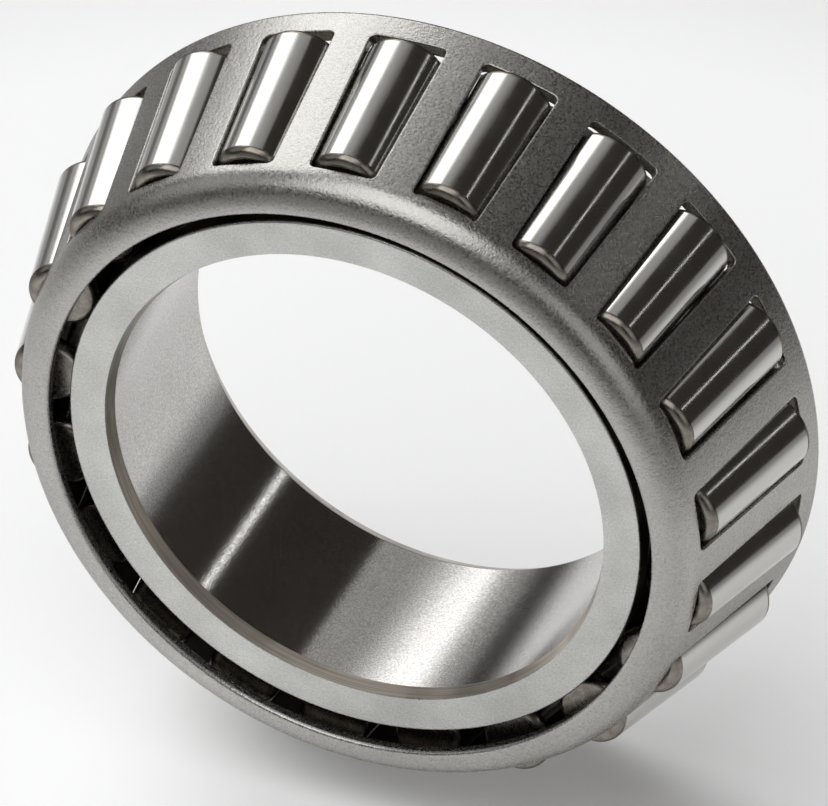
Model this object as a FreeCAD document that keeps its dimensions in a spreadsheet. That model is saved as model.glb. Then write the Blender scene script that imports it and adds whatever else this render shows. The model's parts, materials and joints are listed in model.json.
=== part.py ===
import FreeCAD, Part

import os

import Sketcher

# Inner ring, cage and rollers of a single-row tapered roller bearing, in millimetres.
# Every sub-part is drawn in the bearing's own frame: the axis is local Z, and z = 0 is the
# small-end face of the inner ring.  bearing_frame() then lays that axis along world +Y, with
# the origin on the axis at the middle of the ring's width, and +Z up.
#
# All the rolling surfaces are cones that share one apex on the bearing axis, in front of the
# small-end face, so the rollers roll without sliding.

DIMENSIONS = {
    # inner ring
    "bore_radius": "22.5",
    "ring_width": "20",
    "front_bevel_radial": "0.4",
    "front_bevel_axial": "1.25",
    "back_bevel_radial": "0.87",
    "back_bevel_axial": "1.4",
    "edge_round": "0.2",
    "rib_round": "0.6",
    "small_rib_radius": "26.2",
    "small_rib_width": "2.1",
    "large_rib_radius": "30.3",
    "raceway_start": "2.9",
    "raceway_end": "16.2",
    "undercut_depth": "0.3",
    # the common apex, and the rollers' place along their own axis, measured from it
    "apex_distance": "125.7",
    "roller_tilt": "12.8",
    "roller_half_angle": "1.4",
    "roller_start": "131.4",
    "roller_length": "14.1",
    "roller_small_round": "0.8",
    "roller_large_round": "0.5",
    "roller_count": "21",
    "first_roller_angle": "92.81",
    # running clearances
    "raceway_clearance": "0.03",
    "rib_clearance": "0.06",
    # pressed sheet cage
    "cage_front": "-1.3",
    "cage_back": "18.7",
    "cage_rim_radius": "35.05",
    "cage_lip_radius": "27.65",
    "cage_thickness": "1.25",
    "cage_bend_radius": "3",
    "cage_edge_round": "0.35",
    "pocket_half_small": "2.95",
    "pocket_half_large": "3.42",
    "pocket_end_gap": "0.55",
    "pocket_side_gap": "0.12",
    "pocket_corner": "0.5",
    "pocket_depth": "8",
}

SHEET = "Sizes"
ORIGIN_POINT = (-1, 1)


def make_sheet(doc):
    """Write the driving dimensions to a spreadsheet, one named cell each."""
    sheet = doc.addObject("Spreadsheet::Sheet", SHEET)
    for row, (name, value) in enumerate(DIMENSIONS.items(), start=1):
        sheet.set(f"A{row}", name)
        sheet.set(f"B{row}", value)
        sheet.setAlias(f"B{row}", name)
    doc.recompute()
    return sheet


def cell(name):
    """The expression that reads one cell of the sheet."""
    return f"{SHEET}.{name}"


def formula(text):
    """Turn a formula in the sheet's names into an expression that reads its cells."""
    for name in sorted(DIMENSIONS, key=len, reverse=True):
        text = text.replace(f"{{{name}}}", cell(name))
    return text


def new_body(doc, label):
    """An empty body, named after the piece that it will hold."""
    body = doc.addObject("PartDesign::Body", label)
    body.Label = label
    return body


def origin_plane(body, role):
    """One of the body's own three origin planes."""
    return next(feature for feature in body.Origin.OriginFeatures if feature.Role == role)


def new_sketch(body, name, plane_role):
    """A sketch on one of the body's origin planes."""
    sketch = body.newObject("Sketcher::SketchObject", name)
    sketch.AttachmentSupport = (origin_plane(body, plane_role), [""])
    sketch.MapMode = "FlatFace"
    return sketch


def draw_profile(doc, sketch, corners, rounds=()):
    """Draw a closed outline whose corners, and corner radii, are formulas of the sheet.

    corners is a list of (across, along) formulas; rounds pairs a corner's number with the
    formula of its radius.
    """
    values = [tuple(evaluate(sketch, text) for text in corner) for corner in corners]
    points = [FreeCAD.Vector(across, along, 0) for across, along in values]
    count = len(points)
    for number, start in enumerate(points):
        sketch.addGeometry(Part.LineSegment(start, points[(number + 1) % count]), False)
    for number in range(count):
        following = (number + 1) % count
        sketch.addConstraint(Sketcher.Constraint("Coincident", number, 2, following, 1))
    for number, corner in enumerate(corners):
        for kind, text, value in zip(("DistanceX", "DistanceY"), corner, values[number]):
            place = Sketcher.Constraint(kind, *ORIGIN_POINT, number, 1, value)
            index = sketch.addConstraint(place)
            sketch.setExpression(f"Constraints[{index}]", formula(text))
    for number, text in rounds:
        radius = evaluate(sketch, text)
        sketch.fillet(number, 1, radius, True, True)
        arc = max(i for i, curve in enumerate(sketch.Geometry) if curve.TypeId == "Part::GeomArcOfCircle")
        index = sketch.addConstraint(Sketcher.Constraint("Radius", arc, radius))
        sketch.setExpression(f"Constraints[{index}]", formula(text))
    doc.recompute()


def evaluate(owner, text):
    """The number that a formula of the sheet gives."""
    return float(owner.evalExpression(formula(text)))


def revolve(body, sketch, name):
    """Revolve a profile, drawn right of the sketch's vertical axis, about that axis."""
    feature = body.newObject("PartDesign::Revolution", name)
    feature.Profile = sketch
    feature.ReferenceAxis = (sketch, ["V_Axis"])
    feature.Angle = 360
    return feature


def bearing_frame(body):
    """Lay the bearing's axis along world +Y, with the origin at the middle of the bore."""
    quarter_turn = FreeCAD.Rotation(FreeCAD.Vector(1, 0, 0), -90)
    half_width = evaluate(body, "{ring_width} / 2")
    return FreeCAD.Placement(FreeCAD.Vector(0, -half_width, 0), quarter_turn)


def make_inner_ring(doc):
    """The hardened inner ring: bore, raceway cone, and a guiding rib at each end."""
    raceway = "({apex_distance} + %s) * tan({roller_tilt} - {roller_half_angle}) - {raceway_clearance}"
    rib_face = (
        "({roller_start} + {roller_length} + {rib_clearance}) / cos({roller_tilt})"
        " - {apex_distance} - (%s) * tan({roller_tilt})"
    )
    race_front = raceway % "{raceway_start}"
    race_back = raceway % "{raceway_end}"
    front_root = race_front + " - {undercut_depth}"
    back_root = race_back + " - {undercut_depth}"
    corners = [
        ("{bore_radius} + {front_bevel_radial}", "0"),
        ("{small_rib_radius}", "0"),
        ("{small_rib_radius}", "{small_rib_width}"),
        (front_root, "{small_rib_width}"),
        (front_root, "{raceway_start}"),
        (race_front, "{raceway_start}"),
        (race_back, "{raceway_end}"),
        (back_root, "{raceway_end}"),
        (back_root, rib_face % back_root),
        ("{large_rib_radius}", rib_face % "{large_rib_radius}"),
        ("{large_rib_radius}", "{ring_width}"),
        ("{bore_radius} + {back_bevel_radial}", "{ring_width}"),
        ("{bore_radius}", "{ring_width} - {back_bevel_axial}"),
        ("{bore_radius}", "{front_bevel_axial}"),
    ]
    rounds = [
        (1, "{edge_round}"),
        (2, "{edge_round}"),
        (9, "{edge_round}"),
        (10, "{rib_round}"),
    ]
    body = new_body(doc, "inner_ring")
    sketch = new_sketch(body, "inner_ring_section", "XZ_Plane")
    draw_profile(doc, sketch, corners, rounds)
    revolve(body, sketch, "inner_ring_turned")
    body.Placement = bearing_frame(body)
    return body


def tilt_to_roller(sketch):
    """Lay a sketch's vertical axis on the first roller's axis, with its origin at the apex."""
    sketch.AttachmentOffset = FreeCAD.Placement(
        FreeCAD.Vector(0, 0, 0), FreeCAD.Rotation(FreeCAD.Vector(1, 0, 0), 1)
    )
    sketch.setExpression(".AttachmentOffset.Base.y", formula("-{apex_distance}"))
    sketch.setExpression(".AttachmentOffset.Rotation.Angle", cell("roller_tilt"))


def make_cage(doc):
    """The pressed steel cage: a cone with a turned-in lip and one window for each roller."""
    outer = "{cage_rim_radius} - ({cage_back} - (%s)) * tan({roller_tilt})"
    inner = outer + " - {cage_thickness} / cos({roller_tilt})"
    lip_back = "{cage_front} + {cage_thickness}"
    rim_drop = "{cage_thickness} * sin({roller_tilt})"
    corners = [
        ("{cage_lip_radius}", "{cage_front}"),
        (outer % "{cage_front}", "{cage_front}"),
        ("{cage_rim_radius}", "{cage_back}"),
        (
            "{cage_rim_radius} - {cage_thickness} * cos({roller_tilt})",
            "{cage_back} + " + rim_drop,
        ),
        (inner % lip_back, lip_back),
        ("{cage_lip_radius}", lip_back),
    ]
    rounds = [
        (0, "{cage_edge_round}"),
        (1, "{cage_bend_radius}"),
        (2, "{cage_edge_round}"),
        (3, "{cage_edge_round}"),
        (4, "{cage_bend_radius} - {cage_thickness}"),
        (5, "{cage_edge_round}"),
    ]
    body = new_body(doc, "cage")
    section = new_sketch(body, "cage_section", "XZ_Plane")
    draw_profile(doc, section, corners, rounds)
    pressed = revolve(body, section, "cage_pressed")
    doc.recompute()

    start = "{roller_start} - {pocket_end_gap}"
    end = "{roller_start} + {roller_length} + {pocket_end_gap}"
    window = new_sketch(body, "window_outline", "YZ_Plane")
    tilt_to_roller(window)
    window_corners = [
        ("-{pocket_half_small}", start),
        ("{pocket_half_small}", start),
        ("{pocket_half_large}", end),
        ("-{pocket_half_large}", end),
    ]
    draw_profile(doc, window, window_corners, [(number, "{pocket_corner}") for number in range(4)])
    pocket = body.newObject("PartDesign::Pocket", "window_punched")
    pocket.Profile = window
    pocket.Reversed = True
    pocket.setExpression("Length", cell("pocket_depth"))

    # the bars are hollowed to the roller's own cone, so that they guide it
    wall = "(%s) * tan({roller_half_angle}) + {pocket_side_gap}"
    hollow = new_sketch(body, "bar_hollow_outline", "YZ_Plane")
    tilt_to_roller(hollow)
    draw_profile(doc, hollow, [("0", start), (wall % start, start), (wall % end, end), ("0", end)])
    groove = body.newObject("PartDesign::Groove", "bar_hollow")
    groove.Profile = hollow
    groove.ReferenceAxis = (hollow, ["V_Axis"])
    groove.Angle = 360
    doc.recompute()

    pattern = body.newObject("PartDesign::PolarPattern", "windows")
    pattern.Originals = [pocket, groove]
    pattern.Axis = (section, ["V_Axis"])
    pattern.Angle = 360
    pattern.setExpression("Occurrences", cell("roller_count"))
    body.Tip = pattern
    doc.recompute()

    windows = evaluate(body, "{roller_count}")
    one_window = pressed.Shape.Volume - groove.Shape.Volume
    all_windows = pressed.Shape.Volume - pattern.Shape.Volume
    if one_window <= 0 or abs(all_windows - windows * one_window) > one_window / 2:
        raise RuntimeError("the cage's windows did not cut through")

    turn = FreeCAD.Rotation(FreeCAD.Vector(0, 0, 1), evaluate(body, "-{first_roller_angle}"))
    body.Placement = bearing_frame(body) * FreeCAD.Placement(FreeCAD.Vector(0, 0, 0), turn)
    return body


def make_roller(doc, number):
    """One tapered roller, drawn with the apex at its origin and its axis along local Z."""
    end = "{roller_start} + {roller_length}"
    radius = "(%s) * tan({roller_half_angle})"
    corners = [
        ("0", "{roller_start}"),
        (radius % "{roller_start}", "{roller_start}"),
        (radius % end, end),
        ("0", end),
    ]
    rounds = [(1, "{roller_small_round}"), (2, "{roller_large_round}")]
    label = f"roller_{number:02d}"
    body = new_body(doc, label)
    sketch = new_sketch(body, label + "_section", "XZ_Plane")
    draw_profile(doc, sketch, corners, rounds)
    revolve(body, sketch, label + "_turned")

    step = 360 / evaluate(body, "{roller_count}")
    angle = evaluate(body, "-{first_roller_angle}") + (number - 1) * step
    to_apex = FreeCAD.Vector(0, 0, evaluate(body, "-{apex_distance}"))
    around = FreeCAD.Placement(to_apex, FreeCAD.Rotation(FreeCAD.Vector(0, 0, 1), angle))
    tilt = FreeCAD.Rotation(FreeCAD.Vector(0, 1, 0), evaluate(body, "{roller_tilt}"))
    body.Placement = bearing_frame(body) * around * FreeCAD.Placement(FreeCAD.Vector(0, 0, 0), tilt)
    return body


def check(doc, pieces):
    """Stop before anything is written if any object failed or any piece is not a sound solid."""
    for thing in doc.Objects:
        if "Invalid" in thing.State or "Error" in thing.State:
            raise RuntimeError(f"{thing.Name} failed: {thing.State}")
    for piece in pieces:
        if piece.Shape.isNull() or not piece.Shape.isValid() or len(piece.Shape.Solids) != 1:
            raise RuntimeError(f"{piece.Label} is not one valid solid")


def main():
    doc = FreeCAD.newDocument("tapered_roller_bearing")
    sheet = make_sheet(doc)
    pieces = [make_inner_ring(doc), make_cage(doc)]
    for number in range(1, int(sheet.roller_count) + 1):
        pieces.append(make_roller(doc, number))
    doc.recompute()
    check(doc, pieces)
    os.makedirs("parts", exist_ok=True)
    for piece in pieces:
        piece.Shape.exportStep(f"parts/{piece.Label}.step")
        print(piece.Label, "volume", round(piece.Shape.Volume, 1), "mm3")


main()
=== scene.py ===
import json
import math

import bmesh
import bpy
from mathutils import Matrix, Vector


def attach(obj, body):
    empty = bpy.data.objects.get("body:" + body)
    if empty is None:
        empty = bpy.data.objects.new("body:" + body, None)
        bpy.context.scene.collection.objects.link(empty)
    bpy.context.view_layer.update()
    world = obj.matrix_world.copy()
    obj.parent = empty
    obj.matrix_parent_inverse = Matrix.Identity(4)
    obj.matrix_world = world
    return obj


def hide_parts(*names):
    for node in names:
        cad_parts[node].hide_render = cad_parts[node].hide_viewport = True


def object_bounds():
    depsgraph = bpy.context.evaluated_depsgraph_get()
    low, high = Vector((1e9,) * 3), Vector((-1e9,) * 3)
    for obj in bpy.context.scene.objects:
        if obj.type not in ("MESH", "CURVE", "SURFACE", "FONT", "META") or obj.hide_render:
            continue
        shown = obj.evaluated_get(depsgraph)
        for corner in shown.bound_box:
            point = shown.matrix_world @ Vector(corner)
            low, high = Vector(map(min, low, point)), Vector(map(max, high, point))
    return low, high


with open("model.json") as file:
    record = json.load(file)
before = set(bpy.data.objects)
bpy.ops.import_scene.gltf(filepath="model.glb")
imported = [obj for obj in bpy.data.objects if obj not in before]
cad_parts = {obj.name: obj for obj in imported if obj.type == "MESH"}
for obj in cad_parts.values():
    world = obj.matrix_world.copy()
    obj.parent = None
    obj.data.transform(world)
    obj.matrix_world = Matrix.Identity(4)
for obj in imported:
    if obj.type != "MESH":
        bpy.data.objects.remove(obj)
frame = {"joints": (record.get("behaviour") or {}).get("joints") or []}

CAD_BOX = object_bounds()
MM = 0.001
MICRON = 0.000001

# The bearing's axis is the frame's +Y. Meshes about it are made with the axis along their own Z,
# from z = 0 at the small-end face, and this matrix turns them into the frame.
RING_WIDTH = 20 * MM
TO_BEARING = Matrix.Translation((0, -RING_WIDTH / 2, 0)) @ Matrix.Rotation(math.radians(-90), 4, "X")

# Sizes of the CAD model that the visible pieces repeat.
BORE_RADIUS = 22.5 * MM
FRONT_BEVEL = (0.4 * MM, 1.25 * MM)
BACK_BEVEL = (0.87 * MM, 1.4 * MM)
SMALL_RIB_RADIUS = 26.2 * MM
SMALL_RIB_WIDTH = 2.1 * MM
LARGE_RIB_RADIUS = 30.3 * MM
RACEWAY_START = 2.9 * MM
RACEWAY_END = 16.2 * MM
UNDERCUT_DEPTH = 0.3 * MM
RACEWAY_CLEARANCE = 0.03 * MM
RIB_CLEARANCE = 0.06 * MM
APEX_DISTANCE = 125.7 * MM
ROLLER_TILT = math.radians(12.8)
ROLLER_HALF_ANGLE = math.radians(1.4)
ROLLER_START = 131.4 * MM
ROLLER_LENGTH = 14.1 * MM
ROLLER_SMALL_ROUND = 0.8 * MM
ROLLER_LARGE_ROUND = 0.5 * MM
ROLLER_COUNT = 21
FIRST_ROLLER_ANGLE = math.radians(92.81)
CAGE_FRONT = -1.3 * MM
CAGE_BACK = 18.7 * MM
CAGE_RIM_RADIUS = 35.05 * MM
CAGE_LIP_RADIUS = 27.65 * MM
CAGE_THICKNESS = 1.25 * MM
CAGE_BEND_RADIUS = 3 * MM
CAGE_EDGE_ROUND = 0.35 * MM
POCKET_HALF_SMALL = 2.95 * MM
POCKET_HALF_LARGE = 3.42 * MM
POCKET_END_GAP = 0.55 * MM
POCKET_CORNER = 0.5 * MM

# The window sides are a little closer to the rollers than the CAD model's, and have round edges.
POCKET_SIDE_GAP = 0.06 * MM
POCKET_EDGE = 0.11 * MM

# Edge rounds of the ring. The last two repeat the CAD model's, which has the other edges sharp.
SHARP_EDGE = 0.05 * MM
FACE_EDGE = 0.06 * MM
BORE_EDGE = 0.08 * MM
BACK_BORE_EDGE = 0.15 * MM
RIB_EDGE = 0.2 * MM
BACK_EDGE = 0.6 * MM

# Some rollers have slid this far towards their small ends. The others lie against the large rib.
END_PLAY = 0.3 * MM
SLID_ROLLERS = (1, 3, 7, 19, 20, 21)

TILT_TAN = math.tan(ROLLER_TILT)
TILT_COS = math.cos(ROLLER_TILT)
TILT_SIN = math.sin(ROLLER_TILT)
HALF_ANGLE_TAN = math.tan(ROLLER_HALF_ANGLE)


# ---------------------------------------------------------------- camera

def make_camera():
    """The photograph's viewpoint: from the right and above, through a long lens."""
    azimuth = math.radians(23.12)
    elevation = math.radians(38.13)
    distance = 0.981
    picture_centre = Vector((5.2 * MM, 6.45 * MM, 0))
    back = Vector((math.sin(azimuth) * math.cos(elevation),
                   -math.cos(azimuth) * math.cos(elevation),
                   math.sin(elevation)))
    turn = (-back).to_track_quat("-Z", "Y")
    data = bpy.data.cameras.new("camera")
    data.sensor_width = 36
    data.lens = 506
    data.dof.use_dof = False
    data.clip_start = 0.01
    data.clip_end = 20
    camera = bpy.data.objects.new("camera", data)
    bpy.context.scene.collection.objects.link(camera)
    face_centre = Vector((0, -RING_WIDTH / 2, 0))
    camera.location = face_centre + back * distance + turn @ picture_centre
    camera.rotation_mode = "QUATERNION"
    camera.rotation_quaternion = turn
    bpy.context.scene.camera = camera


# ---------------------------------------------------------------- materials

class Finish:
    """A node material with one Principled shader, and short ways to add texture nodes to it.
    Its colour and roughness hold until a texture node takes their place."""

    def __init__(self, name, colour, roughness, metallic=1.0):
        self.material = bpy.data.materials.new(name)
        self.material.use_nodes = True
        self.tree = self.material.node_tree
        self.tree.nodes.clear()
        self.shader = self.add("ShaderNodeBsdfPrincipled")
        output = self.add("ShaderNodeOutputMaterial")
        self.join(self.shader.outputs["BSDF"], output.inputs["Surface"])
        self.shader.inputs["Base Color"].default_value = (*colour, 1)
        self.shader.inputs["Metallic"].default_value = metallic
        self.shader.inputs["Roughness"].default_value = roughness
        self.place = self.add("ShaderNodeTexCoord").outputs["Object"]

    def add(self, kind, **settings):
        node = self.tree.nodes.new(kind)
        for key, value in settings.items():
            setattr(node, key, value)
        return node

    def join(self, source, target):
        self.tree.links.new(source, target)

    def stretched(self, scale):
        """Object coordinates scaled by a vector, for streaks."""
        mapping = self.add("ShaderNodeMapping")
        mapping.inputs["Scale"].default_value = scale
        self.join(self.place, mapping.inputs["Vector"])
        return mapping.outputs["Vector"]

    def polar(self, radial, angular, axial):
        """Coordinates (radius, angle, height) about the piece's own Z, each times its factor."""
        split = self.add("ShaderNodeSeparateXYZ")
        self.join(self.place, split.inputs["Vector"])
        radius = self.maths("SQRT", self.maths("ADD",
                            self.maths("MULTIPLY", split.outputs["X"], split.outputs["X"]),
                            self.maths("MULTIPLY", split.outputs["Y"], split.outputs["Y"])))
        angle = self.maths("ARCTAN2", split.outputs["Y"], split.outputs["X"])
        merge = self.add("ShaderNodeCombineXYZ")
        self.join(self.maths("MULTIPLY", radius, radial), merge.inputs["X"])
        self.join(self.maths("MULTIPLY", angle, angular), merge.inputs["Y"])
        self.join(self.maths("MULTIPLY", split.outputs["Z"], axial), merge.inputs["Z"])
        return merge.outputs["Vector"]

    def maths(self, operation, first, second=None):
        node = self.add("ShaderNodeMath", operation=operation)
        for socket, value in zip(node.inputs, (first, second)):
            if isinstance(value, (int, float)):
                socket.default_value = value
            elif value is not None:
                self.join(value, socket)
        return node.outputs[0]

    def noise(self, vector, scale, detail=2.0, roughness=0.5):
        """A smooth random pattern. On the plain object coordinates, scale is in cells per metre."""
        node = self.add("ShaderNodeTexNoise")
        node.inputs["Scale"].default_value = scale
        node.inputs["Detail"].default_value = detail
        node.inputs["Roughness"].default_value = roughness
        self.join(vector, node.inputs["Vector"])
        return node.outputs["Fac"]

    def weighted(self, first, second, share):
        """Two grey patterns mixed, with the first one's share of the whole."""
        return self.maths("ADD", self.maths("MULTIPLY", first, share),
                          self.maths("MULTIPLY", second, 1 - share))

    def speckle(self, scale):
        """One random value in each small cell."""
        node = self.add("ShaderNodeTexVoronoi")
        node.inputs["Scale"].default_value = scale
        self.join(self.place, node.inputs["Vector"])
        return node.outputs["Color"]

    def remap(self, value, low, high, out_low, out_high):
        node = self.add("ShaderNodeMapRange")
        self.join(value, node.inputs["Value"])
        node.inputs["From Min"].default_value = low
        node.inputs["From Max"].default_value = high
        node.inputs["To Min"].default_value = out_low
        node.inputs["To Max"].default_value = out_high
        return node.outputs["Result"]

    def blend(self, factor, first, second):
        """A colour between two, by a factor."""
        node = self.add("ShaderNodeMix", data_type="RGBA")
        self.join(factor, node.inputs["Factor"])
        for name, colour in (("A", first), ("B", second)):
            sockets = [s for s in node.inputs if s.name == name and s.type == "RGBA"]
            sockets[0].default_value = (*colour, 1)
        return [s for s in node.outputs if s.type == "RGBA"][0]

    def colour(self, source):
        self.join(source, self.shader.inputs["Base Color"])

    def tint(self, pattern, first, second):
        """Base colour that goes from one to the other over the middle of the pattern's range."""
        self.colour(self.blend(self.remap(pattern, 0.35, 0.65, 0, 1), first, second))

    def roughness(self, source):
        self.join(source, self.shader.inputs["Roughness"])

    def bumps(self, *layers):
        """Each layer is (height source, depth in metres)."""
        before = None
        for height, depth in layers:
            bump = self.add("ShaderNodeBump")
            bump.inputs["Strength"].default_value = 1.0
            bump.inputs["Distance"].default_value = depth
            self.join(height, bump.inputs["Height"])
            if before is not None:
                self.join(before, bump.inputs["Normal"])
            before = bump.outputs["Normal"]
        self.join(before, self.shader.inputs["Normal"])

    def dull_edge(self, level):
        """Limits how far a metal brightens where it is seen edge on."""
        self.shader.inputs["Specular Tint"].default_value = (level, level, level, 1)

    def brushed_round(self, amount):
        """Anisotropy of marks that run round the piece's own Z, so that reflections smear along Z."""
        tangent = self.add("ShaderNodeTangent", direction_type="RADIAL", axis="Z")
        self.join(tangent.outputs["Tangent"], self.shader.inputs["Tangent"])
        self.shader.inputs["Anisotropic"].default_value = amount
        self.shader.inputs["Anisotropic Rotation"].default_value = 0.25


def ground_face():
    """Satin plane-ground face: fine crossing scratches on a finely speckled grey."""
    finish = Finish("ground_face", (0.56, 0.56, 0.545), 0.28)
    streak = finish.noise(finish.stretched((1200, 9000, 1200)), 1.0, 3.0, 0.6)
    cross = finish.noise(finish.stretched((7000, 900, 900)), 1.0, 2.0, 0.6)
    cloud = finish.noise(finish.place, 160, 2.0)
    grain = finish.noise(finish.place, 5200, 2.0, 0.7)
    tone = finish.weighted(cloud, grain, 0.45)
    finish.tint(tone, (0.43, 0.43, 0.41), (0.65, 0.65, 0.63))
    finish.roughness(finish.remap(streak, 0.3, 0.7, 0.24, 0.36))
    finish.bumps((streak, 14 * MICRON), (cross, 10 * MICRON))
    return finish.material


def ground_bore():
    """Bore and raceway: fine grain, and lines round it that smear reflections along the axis."""
    finish = Finish("ground_bore", (0.54, 0.53, 0.51), 0.18)
    lines = finish.noise(finish.polar(1, 22, 7000), 1.0, 3.0, 0.6)
    grain = finish.noise(finish.place, 5600, 2.0, 0.7)
    cloud = finish.noise(finish.place, 220, 3.0)
    tone = finish.weighted(cloud, grain, 0.12)
    finish.tint(tone, (0.40, 0.385, 0.365), (0.65, 0.64, 0.625))
    finish.roughness(finish.remap(lines, 0.3, 0.7, 0.13, 0.18))
    finish.bumps((lines, 0.8 * MICRON), (grain, 3.2 * MICRON))
    finish.brushed_round(0.9)
    return finish.material


def turned_bevel():
    """Bevels and reliefs: turned and heat-tinted, with coarser lines round them."""
    finish = Finish("turned_bevel", (0.46, 0.42, 0.37), 0.36)
    lines = finish.noise(finish.polar(9000, 2, 9000), 1.0, 2.0, 0.6)
    cloud = finish.noise(finish.place, 500, 3.0)
    finish.tint(lines, (0.37, 0.33, 0.28), (0.56, 0.52, 0.465))
    finish.roughness(finish.remap(cloud, 0.3, 0.7, 0.28, 0.42))
    finish.bumps((lines, 9 * MICRON))
    return finish.material


def painted_shade_steel():
    """Rough steel for the surfaces inside the cage and under its lip: dark, with a slight brown cast, as
    painted shade.
    """
    finish = Finish("painted_shade_steel", (0.17, 0.15, 0.13), 0.4)
    grain = finish.noise(finish.place, 3600, 2.0, 0.6)
    film = finish.noise(finish.place, 350, 3.0)
    finish.tint(film, (0.10, 0.085, 0.075), (0.15, 0.135, 0.12))
    finish.roughness(finish.remap(grain, 0.3, 0.7, 0.34, 0.5))
    finish.bumps((grain, 7 * MICRON))
    finish.dull_edge(0.3)
    return finish.material


def tumbled_steel():
    """Cage: pressed sheet, tumbled to a matt sparkling grain."""
    finish = Finish("tumbled_steel", (0.45, 0.44, 0.42), 0.28)
    grain = finish.noise(finish.place, 4200, 2.0, 0.6)
    pits = finish.noise(finish.place, 1500, 3.0, 0.6)
    cloud = finish.noise(finish.place, 140, 3.0)
    cells = finish.speckle(6500)
    tone = finish.weighted(cloud, grain, 0.3)
    finish.tint(tone, (0.40, 0.39, 0.37), (0.52, 0.51, 0.485))
    finish.roughness(finish.remap(grain, 0.3, 0.7, 0.22, 0.36))
    finish.bumps((pits, 26 * MICRON), (grain, 29 * MICRON), (cells, 16 * MICRON))
    finish.dull_edge(0.7)
    return finish.material


def polished_roller():
    """Roller sides: superfinished, nearly a mirror, with the faintest lines round them."""
    finish = Finish("polished_roller", (0.55, 0.545, 0.52), 0.18)
    lines = finish.noise(finish.polar(1, 2, 6000), 1.0, 2.0, 0.5)
    smear = finish.noise(finish.place, 400, 3.0, 0.6)
    finish.roughness(finish.remap(smear, 0.3, 0.75, 0.14, 0.21))
    finish.bumps((lines, 0.25 * MICRON))
    finish.brushed_round(0.4)
    return finish.material


def roller_end():
    """Roller ends and their rounded edges: ground, and duller and browner than the sides."""
    finish = Finish("roller_end", (0.31, 0.285, 0.255), 0.27)
    lines = finish.noise(finish.polar(5000, 4, 5000), 1.0, 2.0, 0.5)
    film = finish.noise(finish.place, 900, 3.0)
    finish.tint(film, (0.23, 0.205, 0.18), (0.33, 0.305, 0.27))
    finish.roughness(finish.remap(lines, 0.3, 0.7, 0.22, 0.34))
    finish.bumps((lines, 2 * MICRON))
    finish.dull_edge(0.4)
    return finish.material


# The floor glows a little, so that its shadows stay soft. Its colour turns grey over this range of
# distances, in metres, as painted shade of the light falling off far away. This gives polished
# steel a darker horizon to reflect.
FLOOR_GLOW = 0.15
FLOOR_FADE = (0.1, 0.2)


def studio_floor():
    """Matt white sheet with a very faint unevenness, greyer far away as painted shade."""
    finish = Finish("studio_floor", (0.82, 0.825, 0.83), 0.75, metallic=0.0)
    reach = finish.add("ShaderNodeVectorMath", operation="LENGTH")
    finish.join(finish.place, reach.inputs[0])
    fade = finish.remap(reach.outputs["Value"], FLOOR_FADE[0], FLOOR_FADE[1], 0, 1)
    finish.colour(finish.blend(fade, (0.83, 0.835, 0.84), (0.36, 0.36, 0.36)))
    glow = finish.remap(fade, 0, 1, FLOOR_GLOW, FLOOR_GLOW * 0.4)
    finish.join(glow, finish.shader.inputs["Emission Strength"])
    finish.bumps((finish.noise(finish.place, 900, 2.0), 10 * MICRON))
    finish.shader.inputs["Specular IOR Level"].default_value = 0.2
    finish.shader.inputs["Emission Color"].default_value = (1, 1, 1, 1)
    return finish.material


# ---------------------------------------------------------------- lathe work

def fillet(before, corner, after, radius, steps, support):
    """Points of a round that touches both sides of a corner, each end with a support point."""
    to_before = (Vector(before) - Vector(corner)).normalized()
    to_after = (Vector(after) - Vector(corner)).normalized()
    half = to_before.angle(to_after) / 2
    reach = radius / math.tan(half)
    centre = Vector(corner) + (to_before + to_after).normalized() * (radius / math.sin(half))
    first = Vector(corner) + to_before * reach
    last = Vector(corner) + to_after * reach
    sweep = math.pi - 2 * half
    points = [first + to_before * support]
    for step in range(steps + 1):
        share = step / steps
        a = math.sin((1 - share) * sweep)
        b = math.sin(share * sweep)
        points.append(centre + ((first - centre) * a + (last - centre) * b) / math.sin(sweep))
    points.append(last + to_after * support)
    return [tuple(p) for p in points]


def rounded_outline(corners, steps=4, support=0.03 * MM):
    """A closed (radius, height) outline. Each corner is (point, round, finish of its round,
    finish of the side that follows). Returns the points and each following side's finish."""
    points, finishes = [], []
    for number, (corner, radius, round_finish, side_finish) in enumerate(corners):
        before = corners[number - 1][0]
        after = corners[(number + 1) % len(corners)][0]
        arc = fillet(before, corner, after, radius, steps, support) if radius else [corner]
        points += arc
        finishes += [round_finish] * (len(arc) - 1) + [side_finish]
    return points, finishes


def lathe(name, points, finishes, segments, materials, closed=True):
    """A mesh turned about its own Z from (radius, height) points. A point on the axis is shared."""
    vertices, rows = [], []
    for radius, height in points:
        if radius < MICRON:
            rows.append([len(vertices)] * segments)
            vertices.append((0, 0, height))
            continue
        rows.append(list(range(len(vertices), len(vertices) + segments)))
        for step in range(segments):
            angle = 2 * math.pi * step / segments
            vertices.append((radius * math.cos(angle), radius * math.sin(angle), height))
    faces, indices = [], []
    for number in range(len(points) if closed else len(points) - 1):
        one, two = rows[number], rows[(number + 1) % len(points)]
        for step in range(segments):
            after = (step + 1) % segments
            face = list(dict.fromkeys((one[step], one[after], two[after], two[step])))
            faces.append(face)
            indices.append(finishes[number])
    mesh = bpy.data.meshes.new(name)
    mesh.from_pydata(vertices, [], faces)
    for polygon, index in zip(mesh.polygons, indices):
        polygon.material_index = index
    finish_mesh(mesh, materials)
    return mesh


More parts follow.
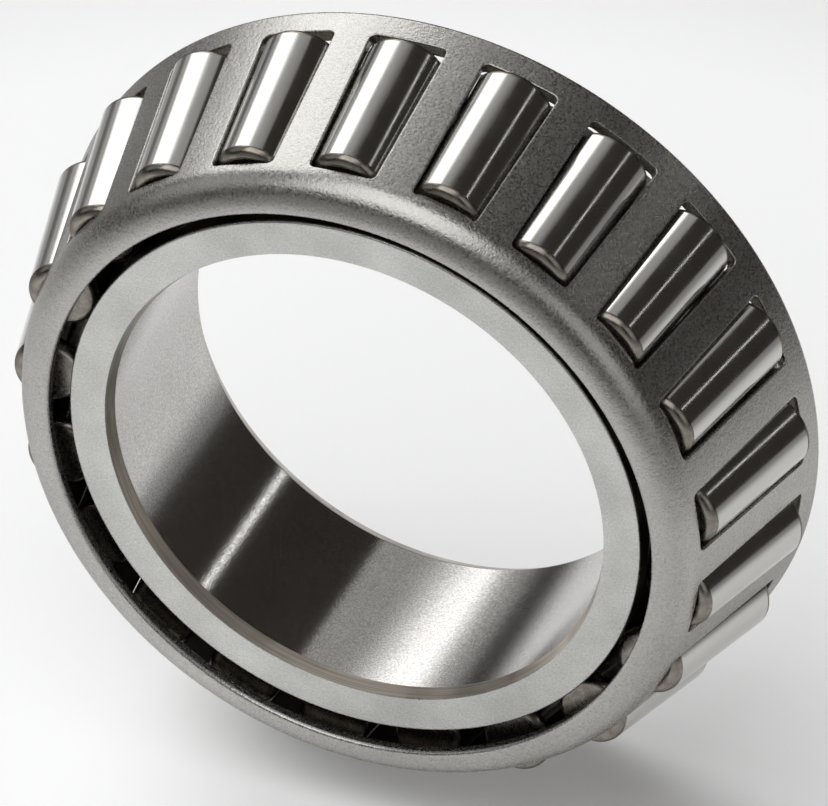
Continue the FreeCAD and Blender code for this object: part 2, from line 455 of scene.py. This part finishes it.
def finish_mesh(mesh, materials):
    """Outward normals, smooth shading and material slots."""
    for material in materials:
        mesh.materials.append(material)
    work = bmesh.new()
    work.from_mesh(mesh)
    bmesh.ops.remove_doubles(work, verts=work.verts, dist=0.5 * MICRON)
    bmesh.ops.recalc_face_normals(work, faces=work.faces)
    work.to_mesh(mesh)
    work.free()
    mesh.shade_smooth()


def add_piece(name, mesh, matrix, body, node):
    """A visible piece that rides on a body and stands in for its CAD node."""
    piece = bpy.data.objects.new(name, mesh)
    bpy.context.scene.collection.objects.link(piece)
    piece.matrix_world = matrix
    bpy.context.view_layer.update()
    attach(piece, body)
    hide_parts(node)
    return piece


# ---------------------------------------------------------------- inner ring

RING_SEGMENTS = 288


def raceway_radius(height):
    """The raceway is a cone with the rollers' apex, less a small clearance."""
    slope = math.tan(ROLLER_TILT - ROLLER_HALF_ANGLE)
    return (APEX_DISTANCE + height) * slope - RACEWAY_CLEARANCE


def rib_height(radius):
    """Height of the large rib's guiding face, which is square to the roller's axis."""
    reach = ROLLER_START + ROLLER_LENGTH + RIB_CLEARANCE
    return reach / TILT_COS - APEX_DISTANCE - radius * TILT_TAN


def make_inner_ring(face, bore, bevel, shaded):
    """The ring, with ground faces, bore and raceway, turned bevels, and painted shade on its front under the
    cage's lip.
    """
    start, end = raceway_radius(RACEWAY_START), raceway_radius(RACEWAY_END)
    relief_start, relief_end = start - UNDERCUT_DEPTH, end - UNDERCUT_DEPTH
    face_finish, bore_finish, bevel_finish, shaded_finish = 0, 1, 2, 3
    corners = [
        ((BORE_RADIUS + FRONT_BEVEL[0], 0), FACE_EDGE, face_finish, face_finish),
        # The small rib's outside and back, and the undercut behind it, take the dark steel: painted shade
        # under the cage's lip.
        ((SMALL_RIB_RADIUS, 0), RIB_EDGE, face_finish, shaded_finish),
        ((SMALL_RIB_RADIUS, SMALL_RIB_WIDTH), RIB_EDGE, shaded_finish, shaded_finish),
        ((relief_start, SMALL_RIB_WIDTH), 0, face_finish, shaded_finish),
        ((relief_start, RACEWAY_START), 0, face_finish, shaded_finish),
        ((start, RACEWAY_START), SHARP_EDGE, bore_finish, bore_finish),
        ((end, RACEWAY_END), SHARP_EDGE, bore_finish, bevel_finish),
        ((relief_end, RACEWAY_END), 0, face_finish, bevel_finish),
        ((relief_end, rib_height(relief_end)), 0, face_finish, bore_finish),
        ((LARGE_RIB_RADIUS, rib_height(LARGE_RIB_RADIUS)), RIB_EDGE, face_finish, face_finish),
        ((LARGE_RIB_RADIUS, RING_WIDTH), BACK_EDGE, face_finish, face_finish),
        ((BORE_RADIUS + BACK_BEVEL[0], RING_WIDTH), BACK_BORE_EDGE, face_finish, bevel_finish),
        ((BORE_RADIUS, RING_WIDTH - BACK_BEVEL[1]), BACK_BORE_EDGE, bevel_finish, bore_finish),
        ((BORE_RADIUS, FRONT_BEVEL[1]), BORE_EDGE, bevel_finish, bevel_finish),
    ]
    points, finishes = rounded_outline(corners)
    mesh = lathe("inner_ring_body", points, finishes, RING_SEGMENTS, (face, bore, bevel, shaded))
    add_piece("ground_inner_ring", mesh, TO_BEARING, "inner_ring", "inner_ring")


# ---------------------------------------------------------------- rollers

ROLLER_SEGMENTS = 96
ROLLER_ROUND_STEPS = 7


def roller_mesh(side, end):
    """One roller, with its own Z along its axis and its middle at the origin."""
    half = ROLLER_LENGTH / 2
    small = ROLLER_START * HALF_ANGLE_TAN
    large = (ROLLER_START + ROLLER_LENGTH) * HALF_ANGLE_TAN
    side_finish, end_finish = 0, 1
    corners = [
        ((0, -half), 0, end_finish, end_finish),
        ((small, -half), ROLLER_SMALL_ROUND, end_finish, side_finish),
        ((large, half), ROLLER_LARGE_ROUND, end_finish, end_finish),
        ((0, half), 0, end_finish, end_finish),
    ]
    points, finishes = rounded_outline(corners, steps=ROLLER_ROUND_STEPS)
    return lathe("roller_body", points, finishes, ROLLER_SEGMENTS, (side, end), closed=False)


def make_rollers(side, end):
    """Rollers in their windows. Each lies where its end play has let it slide."""
    mesh = roller_mesh(side, end)
    for joint in frame["joints"]:
        body = joint["child"]
        if not body.startswith("roller"):
            continue
        # The piece's own X lies along the frame's as nearly as it can, which keeps its box tight.
        along = Vector(joint["axis"]).normalized()
        aside = (Vector((1, 0, 0)) - along * along.x).normalized()
        turn = Matrix((aside, along.cross(aside), along)).transposed().to_4x4()
        place = Vector(joint["pos_m"])
        if int(body[-2:]) in SLID_ROLLERS:
            place -= along * END_PLAY
        matrix = Matrix.Translation(place) @ turn
        add_piece("polished_" + body, mesh, matrix, body, body)


# ---------------------------------------------------------------- cage
# One sector of the cage holds one window. Its sheet is a set of loops round the window with
# equal counts of points: from the sector's edge outside, through the window's wall, to the
# sector's edge inside. A window loop's points are placed by their distance from the cones'
# apex along the roller's axis, and by how far across and above that axis they are.

SIDE_STEPS = 14
END_STEPS = 8
CORNER_STEPS = 6
HALF_CORNER = CORNER_STEPS // 2
EDGE_STEPS = 4
WINDOW_EDGE_STEPS = 3
OUTER_BEND_STEPS = 12
INNER_BEND_STEPS = 8
WALL_DEPTHS = (0.4 * MM, 0.62 * MM, 0.78 * MM, 0.94 * MM)
SHEET_SHARES = (1.0, 0.68, 0.36)
RIM_SUPPORT = 0.05 * MM
LIP_SUPPORT = 0.04 * MM
SHADED_RIM_ROWS = 3
SHADED_LIP_ROWS = 10
SECTOR_HALF = math.pi / ROLLER_COUNT
INNER_BEND_RADIUS = CAGE_BEND_RADIUS - CAGE_THICKNESS
BEND_HEIGHT = CAGE_FRONT + CAGE_BEND_RADIUS
LIFT_SOLVER_STEPS = 4


class Sheet:
    """Rows of points joined into grids. Each face's finish is 0 outside and 1 inside the cage, where 1 is the
    dark steel of painted shade.
    """

    def __init__(self):
        self.vertices, self.faces, self.finishes = [], [], []

    def add_rows(self, rows, shaded_row, closed=False):
        start, width = len(self.vertices), len(rows[0])
        for row in rows:
            self.vertices += row
        for number in range(len(rows) - 1):
            for step in range(width if closed else width - 1):
                one = start + number * width + step
                two = start + number * width + (step + 1) % width
                self.faces.append((one, two, two + width, one + width))
                self.finishes.append(int(number >= shaded_row))


def skin_base(depth):
    """Radius at height 0 of the cage's conical skin at that depth under its outside."""
    return CAGE_RIM_RADIUS - CAGE_BACK * TILT_TAN - depth / TILT_COS


def skin_lift(distance, across, depth):
    """Height above the roller's axis plane of the cage's skin at that depth under its outside."""
    base = skin_base(depth)
    lift = TILT_COS * (base - APEX_DISTANCE * TILT_TAN)
    for _ in range(LIFT_SOLVER_STEPS):
        along = distance * TILT_SIN + lift * TILT_COS
        height = -APEX_DISTANCE + distance * TILT_COS - lift * TILT_SIN
        radius = math.hypot(along, across)
        miss = radius - base - height * TILT_TAN
        lift -= miss / (along / radius * TILT_COS + TILT_SIN * TILT_TAN)
    return lift


def in_sector(distance, across, lift):
    """The place of a point given from the apex along, across and above the roller's axis."""
    return Vector((distance * TILT_SIN + lift * TILT_COS,
                   across,
                   -APEX_DISTANCE + distance * TILT_COS - lift * TILT_SIN))


def on_cone(angle, height, depth):
    """A point on the conical skin at that depth under the cage's outside."""
    radius = skin_base(depth) + height * TILT_TAN
    return Vector((radius * math.cos(angle), radius * math.sin(angle), height))


def pocket_half_width(distance):
    """Half the window's width in the cage's outside."""
    share = (distance - ROLLER_START) / ROLLER_LENGTH
    return POCKET_HALF_SMALL + (POCKET_HALF_LARGE - POCKET_HALF_SMALL) * share


def between(first, last, steps):
    """Evenly spaced pairs from the first one up to the last one, without the last."""
    shares = [step / steps for step in range(steps)]
    return [tuple(a + (b - a) * share for a, b in zip(first, last)) for share in shares]


def window_outline(grow):
    """(distance, across) points round a window grown by so much, from the middle of a corner.
    Order: right side, large end, left side, small end, with half a corner at each one's ends."""
    low = ROLLER_START - POCKET_END_GAP - grow
    high = ROLLER_START + ROLLER_LENGTH + POCKET_END_GAP + grow
    bend = POCKET_CORNER + grow
    half_low, half_high = pocket_half_width(low) + grow, pocket_half_width(high) + grow
    centres = [(low + bend, half_low - bend), (high - bend, half_high - bend),
               (high - bend, -half_high + bend), (low + bend, -half_low + bend)]
    arcs = []
    for number, centre in enumerate(centres):
        begin = 180 - 90 * number
        arc = []
        for step in range(CORNER_STEPS + 1):
            angle = math.radians(begin - 90 * step / CORNER_STEPS)
            arc.append((centre[0] + bend * math.cos(angle), centre[1] + bend * math.sin(angle)))
        arcs.append(arc)
    outline = []
    for number, arc in enumerate(arcs):
        after = arcs[(number + 1) % 4]
        steps = SIDE_STEPS if number % 2 == 0 else END_STEPS
        outline += arc[HALF_CORNER:]
        outline += between(arc[-1], after[0], steps)[1:]
        outline += after[:HALF_CORNER]
    return outline


def flared(distance, across, lift):
    """The window widens inside, so that its walls clear the roller by the side gap."""
    roller = distance * HALF_ANGLE_TAN + POCKET_SIDE_GAP
    half = pocket_half_width(distance)
    return across * math.sqrt(max(roller ** 2 - lift ** 2, half ** 2)) / half


def wall_loop(depth):
    """A loop on the window's wall, at that depth under the outside."""
    loop = []
    for distance, across in window_outline(0):
        lift = skin_lift(distance, across, 0) - depth
        loop.append(in_sector(distance, flared(distance, across, lift), lift))
    return loop


def skin_loop(grow, depth):
    """A loop that lies on the outer or inner skin itself, wherever the flare takes it."""
    loop = []
    for distance, across in window_outline(grow):
        across = flared(distance, across, skin_lift(distance, across, depth))
        loop.append(in_sector(distance, across, skin_lift(distance, across, depth)))
    return loop


def sunk(loop, depth):
    """The loop moved towards the roller's axis plane."""
    down = Vector((-TILT_COS, 0, TILT_SIN)) * depth
    return [point + down for point in loop]


def window_edge(depth, inwards):
    """Loops of the rounded edge between a skin and the window's wall, from the skin."""
    loops = []
    for step in range(WINDOW_EDGE_STEPS + 1):
        angle = math.pi / 2 * step / WINDOW_EDGE_STEPS
        grow = POCKET_EDGE * (1 - math.sin(angle))
        sink = POCKET_EDGE * (1 - math.cos(angle))
        loops.append(sunk(skin_loop(grow, depth), sink * inwards))
    return loops


def sector_edge(spots, low, high):
    """(angle, height) points round the sector's edge, one for each of the window loop's."""
    corners = [(SECTOR_HALF, low), (SECTOR_HALF, high), (-SECTOR_HALF, high), (-SECTOR_HALF, low)]
    edge = []
    for number, corner in enumerate(corners):
        along_side = number % 2 == 0
        steps = SIDE_STEPS if along_side else END_STEPS
        start = len(edge) + HALF_CORNER
        straight = [(corner[0], height) if along_side else (angle, corner[1])
                    for angle, height in spots[start:start + steps + 1]]
        edge += between(corner, straight[0], HALF_CORNER)
        edge += straight
        edge += between(straight[-1], corners[(number + 1) % 4], HALF_CORNER)[1:]
    return edge


def sheet_loops(window, low, high, depth, outside=None):
    """Loops on a skin from the sector's edge towards a window loop, and the edge they begin on.
    The inside's edge takes its angles from the outside's, so that both end on the same rows."""
    spots = [(math.atan2(point.y, point.x), point.z) for point in window]
    edge = sector_edge(spots, low, high)
    if outside:
        edge = [(outer[0], own[1]) for outer, own in zip(outside, edge)]
    loops = []
    for share in SHEET_SHARES:
        loops.append([on_cone(s[0] + (e[0] - s[0]) * share, s[1] + (e[1] - s[1]) * share, depth)
                      for s, e in zip(spots, edge)])
    return loops, edge


def bend_points(radius, steps):
    """(radius, height) points round the lip's bend, from the cone to the lip."""
    first, last = -ROLLER_TILT, -math.pi / 2
    angles = [first + (last - first) * step / steps for step in range(steps + 1)]
    return [tuple(bend_centre() + radius * Vector((math.cos(a), math.sin(a)))) for a in angles]


def bend_centre():
    """(radius, height) of the middle of the lip's bend."""
    return Vector((skin_base(0) + BEND_HEIGHT * TILT_TAN - CAGE_BEND_RADIUS / TILT_COS, BEND_HEIGHT))


def rim_profile():
    """(radius, height) points round the cage's edge at the large end, from outside to inside."""
    outer = (CAGE_RIM_RADIUS, CAGE_BACK)
    inner = (CAGE_RIM_RADIUS - CAGE_THICKNESS / TILT_COS, CAGE_BACK)
    outer_foot = (outer[0] - TILT_TAN * MM, outer[1] - MM)
    inner_foot = (inner[0] - TILT_TAN * MM, inner[1] - MM)
    return (fillet(outer_foot, outer, inner, CAGE_EDGE_ROUND, EDGE_STEPS, RIM_SUPPORT)
            + fillet(outer, inner, inner_foot, CAGE_EDGE_ROUND, EDGE_STEPS, RIM_SUPPORT))


def lip_profile():
    """(radius, height) points round the turned-in lip at the small end, from outside to inside."""
    outer = (CAGE_LIP_RADIUS, CAGE_FRONT)
    inner = (CAGE_LIP_RADIUS, CAGE_FRONT + CAGE_THICKNESS)
    inner_foot = (bend_centre().x, inner[1])
    rows = bend_points(CAGE_BEND_RADIUS, OUTER_BEND_STEPS)
    rows += fillet(rows[-1], outer, inner, CAGE_EDGE_ROUND, EDGE_STEPS, LIP_SUPPORT)
    rows += fillet(outer, inner, inner_foot, CAGE_EDGE_ROUND, EDGE_STEPS, LIP_SUPPORT)
    return rows + bend_points(INNER_BEND_RADIUS, INNER_BEND_STEPS)[::-1]


def turned_rows(profile, angles):
    """A row of points for each (radius, height), at those angles about the axis."""
    return [[Vector((radius * math.cos(angle), radius * math.sin(angle), height)) for angle in angles]
            for radius, height in profile]


def cage_sector():
    """One window with its share of the sheet, the rim and the lip."""
    rim, lip = rim_profile(), lip_profile()
    outer_window = skin_loop(POCKET_EDGE * 2, 0)
    inner_window = skin_loop(POCKET_EDGE * 2, CAGE_THICKNESS)
    outer_foot = BEND_HEIGHT - CAGE_BEND_RADIUS * TILT_SIN
    inner_foot = BEND_HEIGHT - INNER_BEND_RADIUS * TILT_SIN
    outside, edge = sheet_loops(outer_window, outer_foot, rim[0][1], 0)
    inside, _ = sheet_loops(inner_window, inner_foot, rim[-1][1], CAGE_THICKNESS, edge)
    outside += [outer_window] + window_edge(0, 1)
    inside += [inner_window] + window_edge(CAGE_THICKNESS, -1)
    walls = [wall_loop(depth) for depth in WALL_DEPTHS]

    sector = Sheet()
    # The inside skin takes the dark steel, painted shade, as do the inner rows of the rim and the lip.
    sector.add_rows(outside + walls + inside[::-1], len(outside + walls), closed=True)
    side, end = SIDE_STEPS + CORNER_STEPS, END_STEPS + CORNER_STEPS
    angles = [angle for angle, _ in edge + edge[:1]]
    sector.add_rows(turned_rows(rim, angles[side:side + end + 1]), len(rim) - SHADED_RIM_ROWS)
    sector.add_rows(turned_rows(lip, angles[2 * side + end:]), len(lip) - SHADED_LIP_ROWS)
    return sector


def make_cage(steel, shaded):
    """The cage: one sector, repeated for each window."""
    sector = cage_sector()
    vertices, faces = [], []
    for number in range(ROLLER_COUNT):
        turn = Matrix.Rotation(-FIRST_ROLLER_ANGLE + 2 * math.pi * number / ROLLER_COUNT, 3, "Z")
        start = len(vertices)
        vertices += [turn @ v for v in sector.vertices]
        faces += [tuple(start + v for v in face) for face in sector.faces]
    mesh = bpy.data.meshes.new("cage_body")
    mesh.from_pydata(vertices, [], faces)
    for number, polygon in enumerate(mesh.polygons):
        polygon.material_index = sector.finishes[number % len(sector.finishes)]
    finish_mesh(mesh, (steel, shaded))
    add_piece("tumbled_cage", mesh, TO_BEARING, "cage", "cage")


# ---------------------------------------------------------------- studio

WORLD_COLOUR = (0.039, 0.034, 0.031)
FLOOR_HALF = 0.6


def direction(azimuth, elevation):
    """Azimuth is from +Y towards +X, in degrees."""
    a, e = math.radians(azimuth), math.radians(elevation)
    return Vector((math.sin(a) * math.cos(e), math.cos(a) * math.cos(e), math.sin(e)))


def area_light(name, width, height, level):
    """A rectangular light of so much radiance. The camera doesn't see it."""
    data = bpy.data.lights.new(name, "AREA")
    data.shape = "RECTANGLE"
    data.size = width
    data.size_y = height
    data.energy = level * math.pi * width * height
    light = bpy.data.objects.new(name, data)
    bpy.context.scene.collection.objects.link(light)
    light.visible_camera = False
    return light


def panel(name, azimuth, elevation, distance, width, height, level, seen=True, lights_floor=True):
    """A light that faces the object. It can be left out of reflections, or not light the floor."""
    light = area_light(name, width, height, level)
    towards = direction(azimuth, elevation)
    light.location = towards * distance
    light.rotation_mode = "QUATERNION"
    light.rotation_quaternion = towards.to_track_quat("Z", "Y")
    light.visible_glossy = seen
    light.visible_diffuse = lights_floor


def strip(name, start, end, width, level):
    """A thin straight light between two points, facing the object. It doesn't light the floor."""
    start, end = Vector(start), Vector(end)
    light = area_light(name, (end - start).length, width, level)
    middle = (start + end) / 2
    along = (end - start).normalized()
    side = middle.normalized().cross(along).normalized()
    facing = along.cross(side).normalized()
    turn = Matrix((along, side, facing)).transposed()
    light.matrix_world = Matrix.Translation(middle) @ turn.to_4x4()
    light.visible_diffuse = False


def make_studio():
    """Pale floor and soft lights. The walls and ceiling are what polished steel reflects."""
    scene = bpy.context.scene
    scene.view_settings.view_transform = "Standard"
    world = bpy.data.worlds.new("studio")
    world.use_nodes = True
    background = next(n for n in world.node_tree.nodes if n.type == "BACKGROUND")
    background.inputs["Color"].default_value = (*WORLD_COLOUR, 1)
    scene.world = world

    mesh = bpy.data.meshes.new("floor_sheet")
    corners = [(-1, -1), (1, -1), (1, 1), (-1, 1)]
    mesh.from_pydata([(x * FLOOR_HALF, y * FLOOR_HALF, 0) for x, y in corners], [], [(0, 1, 2, 3)])
    mesh.materials.append(studio_floor())
    floor = bpy.data.objects.new("floor", mesh)
    scene.collection.objects.link(floor)
    floor.location = (0, 0, CAD_BOX[0].z)

    # Name, azimuth, elevation, distance, width, height, radiance.
    panel("softbox_left_back", -50.5, 39.3, 0.5, 0.3, 0.308, 1.95, lights_floor=False)
    panel("softbox_spill", -52, 34, 0.52, 0.42, 0.47, 0.35, lights_floor=False)
    panel("softbox_stand", -67, 8, 0.55, 0.2, 0.17, 0.17, lights_floor=False)
    panel("softbox_on_floor", -50, 37, 2.0, 1.2, 1.4, 4.75, seen=False)
    panel("grey_ceiling", -20, 52, 0.8, 0.42, 0.55, 0.43, lights_floor=False)
    panel("key_overhead", -165, 68, 0.8, 0.7, 0.76, 1.8)
    panel("front_wall", -170, 7, 0.9, 0.9, 0.3, 0.3, lights_floor=False)
    panel("right_wall", 118, 26, 0.9, 0.6, 0.7, 0.6, lights_floor=False)
    panel("left_wall", -105, 30, 0.9, 0.6, 0.5, 0.5)
    panel("floor_fill", -115, 55, 1.5, 0.75, 0.75, 3.4, seen=False)
    strip("strip_right_back", (0.56, 1.12, 0.354), (0.864, 0.314, 0.771), 0.032, 2.2)


make_camera()
make_studio()
# Dark steel that paints the shade inside the cage and under its lip.
shaded = painted_shade_steel()
make_inner_ring(ground_face(), ground_bore(), turned_bevel(), shaded)
make_rollers(polished_roller(), roller_end())
make_cage(tumbled_steel(), shaded)
